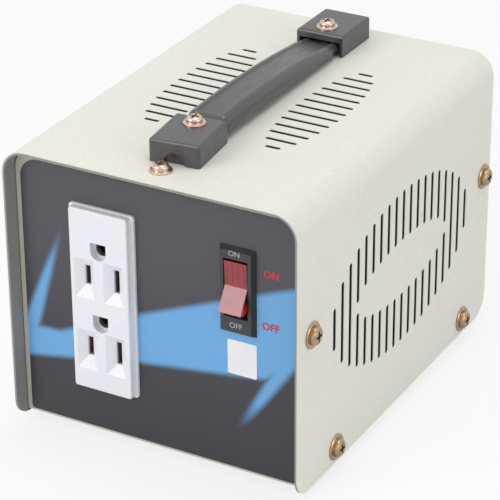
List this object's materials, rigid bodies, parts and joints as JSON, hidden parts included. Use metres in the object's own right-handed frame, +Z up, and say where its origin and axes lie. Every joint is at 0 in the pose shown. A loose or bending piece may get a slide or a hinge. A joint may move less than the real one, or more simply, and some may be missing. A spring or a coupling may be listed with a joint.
{
  "type": "travel voltage converter",
  "caption": "Step-down travel voltage converter: bent sheet metal case with vents and strap handle, grounded duplex outlet, lit rocker switch, and a transformer inside.",
  "frame": {"origin": "centre of the whole object at floor level, under the rubber feet", "axes": "+Z up, +X to the right seen from the front, -Y towards the outlet and switch"},
  "size_m": [0.131, 0.1784, 0.1329],
  "materials": {
    "cover_paint": "off-white fine-textured powder coat",
    "chassis_paint": "light grey-beige powder coat",
    "overlay": "satin charcoal film with a blue flash printed on it",
    "sticker": "white film",
    "fastener": "rose-gold zinc plating",
    "white_plastic": "smooth glossy white",
    "housing_plastic": "black phenolic moulding",
    "contact": "bright spring brass",
    "switch_black": "satin black",
    "rocker_red": "translucent red",
    "lamp_glass": "clear neon bulb",
    "handle_plastic": "dark grey satin",
    "strap_plastic": "dark grey satin soft vinyl",
    "spring_steel": "blued spring steel",
    "foot_rubber": "black matt rubber",
    "core_steel": "stacked silicon steel laminations, varnished",
    "bobbin_plastic": "natural nylon",
    "enamelled_wire": "enamelled copper wire, varnished",
    "insulation": "varnished insulating paper tape",
    "zinc_steel": "bright zinc plating",
    "glass_tube": "clear glass with nickel end caps"
  },
  "bodies": {
    "case": {"blank_sticker": "sticker", "bracket_screws": "zinc_steel", "chassis": "chassis_paint", "coil_bobbin": "bobbin_plastic", "common_winding": "enamelled_wire", "cord_gland": "switch_black", "core_bolts": "zinc_steel", "core_front_bar": "zinc_steel", "core_front_bracket": "zinc_steel", "core_laminations": "core_steel", "core_nuts": "zinc_steel", "core_rear_bar": "zinc_steel", "core_rear_bracket": "zinc_steel", "cover": "cover_paint", "cover_side_screws": "fastener", "cover_top_screw": "fastener", "earth_screw": "zinc_steel", "earth_terminal": "contact", "foot_screws": "zinc_steel", "front_label": "overlay", "fuse_holder": "switch_black", "fuse_lugs": "contact", "fuse_nut": "switch_black", "gland_nut": "switch_black", "ground_contact": "contact", "handle_front_cap": "handle_plastic", "handle_nuts": "zinc_steel", "handle_rear_cap": "handle_plastic", "handle_screws": "fastener", "hot_contact": "contact", "neutral_contact": "contact", "outlet_clips": "spring_steel", "outlet_face": "white_plastic", "outlet_housing": "housing_plastic", "outlet_screws": "zinc_steel", "rubber_feet": "foot_rubber", "series_winding": "enamelled_wire", "strap_front_run": "strap_plastic", "strap_rear_run": "strap_plastic", "switch_frame": "switch_black", "switch_terminals": "contact", "thermal_cutout": "bobbin_plastic", "winding_insulation": "insulation"},
    "rocker": {"switch_rocker": "rocker_red", "switch_lamp": "lamp_glass", "switch_plunger": "white_plastic", "plunger_spring": "spring_steel"},
    "contact_arm": {"switch_seesaw": "contact"},
    "grip": {"strap_grip": "strap_plastic"},
    "front_tongue": {"strap_front_tongue": "spring_steel"},
    "rear_tongue": {"strap_rear_tongue": "spring_steel"},
    "fuse_drawer": {"fuse": "glass_tube"},
    "fuse_cap": {"fuse_cap": "switch_black"}
  },
  "joints": [
    {"name": "rocker_press", "type": "hinge", "parent": "case", "child": "rocker", "pos_m": [0.0347, -0.08081, 0.0838], "axis": [1, 0, 0], "range_deg": [0, 28]},
    {"name": "contact_tilt", "type": "hinge", "parent": "case", "child": "contact_arm", "pos_m": [0.0347, -0.07081, 0.0838], "axis": [1, 0, 0], "range_deg": [-11.2, 0]},
    {"name": "grip_lift", "type": "slide", "parent": "case", "child": "grip", "axis": [0, 0, 1], "range_m": [0, 0.018], "deforming": ["strap_front_run", "strap_rear_run"]},
    {"name": "front_tongue_slide", "type": "slide", "parent": "case", "child": "front_tongue", "axis": [0, 1, 0], "range_m": [0, 0.0036]},
    {"name": "rear_tongue_slide", "type": "slide", "parent": "case", "child": "rear_tongue", "axis": [0, -1, 0], "range_m": [0, 0.0036]},
    {"name": "fuse_pull", "type": "slide", "parent": "case", "child": "fuse_drawer", "axis": [0, 1, 0], "range_m": [0, 0.03]},
    {"name": "fuse_cap_turn", "type": "hinge", "parent": "fuse_drawer", "child": "fuse_cap", "pos_m": [0.028, 0.08019, 0.0334], "axis": [0, 1, 0], "range_deg": [0, 90]}
  ],
  "couplings": [
    {"joint": "contact_tilt", "follows": "rocker_press", "ratio": -0.4},
    {"joint": "front_tongue_slide", "follows": "grip_lift", "ratio": 0.2},
    {"joint": "rear_tongue_slide", "follows": "grip_lift", "ratio": 0.2}
  ]
}
